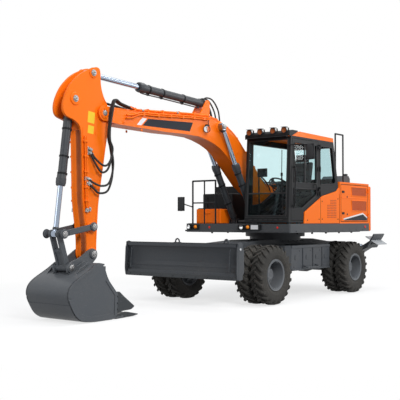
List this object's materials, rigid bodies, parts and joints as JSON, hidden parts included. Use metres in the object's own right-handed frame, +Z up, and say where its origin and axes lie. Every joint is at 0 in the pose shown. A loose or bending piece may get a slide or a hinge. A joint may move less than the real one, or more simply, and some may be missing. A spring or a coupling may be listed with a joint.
{
  "type": "wheeled excavator",
  "caption": "Wheeled excavator with a one-piece boom, arm and bucket, cab, dozer blade, rear stabilisers and twin tyres.",
  "frame": {"origin": "centre of the bounding box at ground level, under the tyres", "axes": "+X forward, the side the boom reaches to; +Y left, the cab side; +Z up"},
  "size_m": [8.4038, 3.11, 3.8112],
  "materials": {
    "black": "matt",
    "bucket_steel": "satin",
    "chrome": "polished",
    "dark_paint": "satin",
    "glass": "clear",
    "linkage": "satin",
    "orange": "gloss",
    "rim": "satin",
    "trim": "matt",
    "tyre": "matt"
  },
  "bodies": {
    "undercarriage": {"chassis": "dark_paint", "rear_axle": "dark_paint", "front_axle": "dark_paint"},
    "wheel_rear_left_body": {"tyre_rear_left": "tyre", "rim_rear_left": "rim"},
    "wheel_rear_right_body": {"tyre_rear_right": "tyre", "rim_rear_right": "rim"},
    "knuckle_left_body": {"knuckle_left": "dark_paint"},
    "wheel_front_left_body": {"tyre_front_left": "tyre", "rim_front_left": "rim"},
    "knuckle_right_body": {"knuckle_right": "dark_paint"},
    "wheel_front_right_body": {"tyre_front_right": "tyre", "rim_front_right": "rim"},
    "steering_rod_body": {"steering_rod": "chrome"},
    "blade_arms_body": {"blade_arms": "dark_paint"},
    "blade_body": {"dozer_blade": "dark_paint"},
    "blade_links_body": {"blade_links": "dark_paint"},
    "blade_barrels_body": {"blade_barrels": "dark_paint"},
    "blade_rods_body": {"blade_rods": "chrome"},
    "stabiliser_leg_left_body": {"stabiliser_leg_left": "dark_paint"},
    "stabiliser_barrel_left_body": {"stabiliser_barrel_left": "dark_paint"},
    "stabiliser_rod_left_body": {"stabiliser_rod_left": "chrome"},
    "stabiliser_leg_right_body": {"stabiliser_leg_right": "dark_paint"},
    "stabiliser_barrel_right_body": {"stabiliser_barrel_right": "dark_paint"},
    "stabiliser_rod_right_body": {"stabiliser_rod_right": "chrome"},
    "upper_structure": {"deck": "dark_paint", "counterweight": "orange", "engine_hood": "orange", "engine": "black", "side_panel_left": "orange", "tank": "black", "toolbox": "orange", "cab_frame": "dark_paint", "cab_roof": "orange", "windshield": "glass", "rear_glass": "glass", "quarter_glass": "glass", "right_glass": "glass", "seat": "black", "console": "trim", "handrail_front": "dark_paint", "handrail_rear": "dark_paint", "mirror_left": "black"},
    "side_door_left_body": {"side_door_left": "orange"},
    "side_door_right_body": {"side_door_right": "orange"},
    "hood_lid_body": {"hood_lid": "orange"},
    "cab_door_body": {"cab_door": "dark_paint", "door_glass": "glass"},
    "boom_body": {"boom": "orange"},
    "arm_body": {"arm": "orange"},
    "bucket_barrel_body": {"bucket_barrel": "dark_paint"},
    "bucket_rod_body": {"bucket_rod": "chrome"},
    "side_links_body": {"side_links": "linkage"},
    "bucket_body": {"bucket": "bucket_steel"},
    "push_link_body": {"push_link": "linkage"},
    "arm_barrel_body": {"arm_barrel": "dark_paint"},
    "arm_rod_body": {"arm_rod": "chrome"},
    "boom_barrels_body": {"boom_barrels": "dark_paint"},
    "boom_rods_body": {"boom_rod_left": "chrome", "boom_rod_right": "chrome"}
  },
  "joints": [
    {"name": "wheel_rear_left", "type": "hinge", "parent": "undercarriage", "child": "wheel_rear_left_body", "pos_m": [-2.89188, 0.795, 0.52348], "axis": [0, 1, 0], "continuous": true},
    {"name": "wheel_rear_right", "type": "hinge", "parent": "undercarriage", "child": "wheel_rear_right_body", "pos_m": [-2.89188, -1.125, 0.52348], "axis": [0, 1, 0], "continuous": true},
    {"name": "wheel_front_left", "type": "hinge", "parent": "knuckle_left_body", "child": "wheel_front_left_body", "pos_m": [0.13812, 0.795, 0.52348], "axis": [0, 1, 0], "continuous": true},
    {"name": "wheel_front_right", "type": "hinge", "parent": "knuckle_right_body", "child": "wheel_front_right_body", "pos_m": [0.13812, -1.125, 0.52348], "axis": [0, 1, 0], "continuous": true},
    {"name": "steer_left", "type": "hinge", "parent": "undercarriage", "child": "knuckle_left_body", "pos_m": [0.13812, 0.586, 0.52348], "axis": [0, 0, 1], "range_deg": [-30, 30]},
    {"name": "steer_right", "type": "hinge", "parent": "undercarriage", "child": "knuckle_right_body", "pos_m": [0.13812, -0.916, 0.52348], "axis": [0, 0, 1], "range_deg": [-30.6, 30.6]},
    {"name": "steering_slide", "type": "slide", "parent": "undercarriage", "child": "steering_rod_body", "axis": [0, 1, 0], "range_m": [-0.099, 0.099]},
    {"name": "blade_lift", "type": "hinge", "parent": "undercarriage", "child": "blade_arms_body", "pos_m": [0.69812, -0.165, 0.596], "axis": [0, 1, 0], "range_deg": [0, 70]},
    {"name": "blade_link_turn", "type": "hinge", "parent": "undercarriage", "child": "blade_links_body", "pos_m": [0.69812, -0.165, 0.766], "axis": [0, 1, 0], "range_deg": [-0.6, 70.6]},
    {"name": "blade_level", "type": "hinge", "parent": "blade_arms_body", "child": "blade_body", "pos_m": [1.02909, -0.165, 0.85458], "axis": [0, 1, 0], "range_deg": [-70.6, 0.6]},
    {"name": "blade_ram_turn", "type": "hinge", "parent": "undercarriage", "child": "blade_barrels_body", "pos_m": [0.68812, -0.165, 1.01], "axis": [0, 1, 0], "range_deg": [-0.6, 18.41]},
    {"name": "blade_ram_slide", "type": "slide", "parent": "blade_barrels_body", "child": "blade_rods_body", "axis": [0.7071, 0, -0.7071], "range_m": [-0.004, 0.4382]},
    {"name": "stabiliser_swing_left", "type": "hinge", "parent": "undercarriage", "child": "stabiliser_leg_left_body", "pos_m": [-3.95188, 0.135, 0.5], "axis": [-1, 0, 0], "range_deg": [0, 59]},
    {"name": "stabiliser_ram_left_turn", "type": "hinge", "parent": "undercarriage", "child": "stabiliser_barrel_left_body", "pos_m": [-3.95188, 0.035, 0.98], "axis": [-1, 0, 0], "range_deg": [-0.6, 39.43]},
    {"name": "stabiliser_ram_left_slide", "type": "slide", "parent": "stabiliser_barrel_left_body", "child": "stabiliser_rod_left_body", "axis": [0, 0.995, -0.0995], "range_m": [-0.004, 0.4157]},
    {"name": "stabiliser_swing_right", "type": "hinge", "parent": "undercarriage", "child": "stabiliser_leg_right_body", "pos_m": [-3.95188, -0.465, 0.5], "axis": [1, 0, 0], "range_deg": [0, 59]},
    {"name": "stabiliser_ram_right_turn", "type": "hinge", "parent": "undercarriage", "child": "stabiliser_barrel_right_body", "pos_m": [-3.95188, -0.365, 0.98], "axis": [1, 0, 0], "range_deg": [-0.6, 39.43]},
    {"name": "stabiliser_ram_right_slide", "type": "slide", "parent": "stabiliser_barrel_right_body", "child": "stabiliser_rod_right_body", "axis": [0, -0.995, -0.0995], "range_m": [-0.004, 0.4157]},
    {"name": "swing", "type": "hinge", "parent": "undercarriage", "child": "upper_structure", "pos_m": [-1.76188, -0.165, 1.25], "axis": [0, 0, 1], "continuous": true},
    {"name": "side_door_left_hinge", "type": "hinge", "parent": "upper_structure", "child": "side_door_left_body", "pos_m": [-3.50088, 1.067, 1.455], "axis": [0, 0, 1], "range_deg": [0, 110]},
    {"name": "side_door_right_hinge", "type": "hinge", "parent": "upper_structure", "child": "side_door_right_body", "pos_m": [-3.50088, -1.397, 1.455], "axis": [0, 0, -1], "range_deg": [0, 110]},
    {"name": "lid_hinge", "type": "hinge", "parent": "upper_structure", "child": "hood_lid_body", "pos_m": [-2.47888, -0.165, 2.262], "axis": [0, 1, 0], "range_deg": [0, 60]},
    {"name": "cab_door_hinge", "type": "hinge", "parent": "upper_structure", "child": "cab_door_body", "pos_m": [-1.41688, 1.07, 2], "axis": [0, 0, 1], "range_deg": [0, 165]},
    {"name": "boom_lift", "type": "hinge", "parent": "upper_structure", "child": "boom_body", "pos_m": [-1.66188, -0.255, 1.74], "axis": [0, -1, 0], "range_deg": [-34, 38]},
    {"name": "boom_ram_turn", "type": "hinge", "parent": "upper_structure", "child": "boom_barrels_body", "pos_m": [-0.81188, -0.255, 1.455], "axis": [0, -1, 0], "range_deg": [-37.15, 41.45]},
    {"name": "boom_ram_slide", "type": "slide", "parent": "boom_barrels_body", "child": "boom_rods_body", "axis": [0.5256, 0, 0.8507], "range_m": [-0.4761, 0.5317]},
    {"name": "arm_turn", "type": "hinge", "parent": "boom_body", "child": "arm_body", "pos_m": [3.2031, -0.255, 3.12032], "axis": [0, 1, 0], "range_deg": [-72, 30]},
    {"name": "arm_ram_turn", "type": "hinge", "parent": "boom_body", "child": "arm_barrel_body", "pos_m": [0.51595, -0.255, 3.58968], "axis": [0, 1, 0], "range_deg": [-1.2, 2.04]},
    {"name": "arm_ram_slide", "type": "slide", "parent": "arm_barrel_body", "child": "arm_rod_body", "axis": [0.9991, 0, 0.0422], "range_m": [-0.624, 0.2623]},
    {"name": "bucket_turn", "type": "hinge", "parent": "arm_body", "child": "bucket_body", "pos_m": [3.42888, -0.255, 0.97215], "axis": [0, 1, 0], "range_deg": [-80, 60]},
    {"name": "side_links_turn", "type": "hinge", "parent": "arm_body", "child": "side_links_body", "pos_m": [3.45119, -0.255, 1.38173], "axis": [0, 1, 0], "range_deg": [-65.62, 49.36]},
    {"name": "push_link_turn", "type": "hinge", "parent": "bucket_body", "child": "push_link_body", "pos_m": [3.87788, -0.255, 0.78515], "axis": [0, 1, 0], "range_deg": [-47.1, 62.6]},
    {"name": "bucket_ram_turn", "type": "hinge", "parent": "arm_body", "child": "bucket_barrel_body", "pos_m": [3.77496, -0.255, 3.27595], "axis": [0, 1, 0], "range_deg": [-2.08, 1.71]},
    {"name": "bucket_ram_slide", "type": "slide", "parent": "bucket_barrel_body", "child": "bucket_rod_body", "axis": [0.1311, 0, -0.9914], "range_m": [-0.6019, 0.4524]}
  ],
  "couplings": [
    {"joint": "steer_right", "follows": "steer_left", "ratio": 1},
    {"joint": "steering_slide", "follows": "steer_left", "m_per_rad": -0.1815},
    {"joint": "blade_link_turn", "follows": "blade_lift", "ratio": 1},
    {"joint": "blade_level", "follows": "blade_lift", "ratio": -1},
    {"joint": "blade_ram_turn", "follows": "blade_lift", "ratio": 0.2544},
    {"joint": "blade_ram_slide", "follows": "blade_lift", "m_per_rad": 0.3554},
    {"joint": "stabiliser_ram_left_turn", "follows": "stabiliser_swing_left", "ratio": 0.6582},
    {"joint": "stabiliser_ram_left_slide", "follows": "stabiliser_swing_left", "m_per_rad": 0.3998},
    {"joint": "stabiliser_ram_right_turn", "follows": "stabiliser_swing_right", "ratio": 0.6582},
    {"joint": "stabiliser_ram_right_slide", "follows": "stabiliser_swing_right", "m_per_rad": 0.3998},
    {"joint": "boom_ram_turn", "follows": "boom_lift", "ratio": 1.0751},
    {"joint": "boom_ram_slide", "follows": "boom_lift", "m_per_rad": 0.7956},
    {"joint": "arm_ram_turn", "follows": "arm_turn", "ratio": -0.02},
    {"joint": "arm_ram_slide", "follows": "arm_turn", "m_per_rad": 0.4934},
    {"joint": "side_links_turn", "follows": "bucket_turn", "ratio": 0.8127},
    {"joint": "push_link_turn", "follows": "bucket_turn", "ratio": -0.775},
    {"joint": "bucket_ram_turn", "follows": "bucket_turn", "ratio": 0.0185},
    {"joint": "bucket_ram_slide", "follows": "bucket_turn", "m_per_rad": 0.4282}
  ]
}
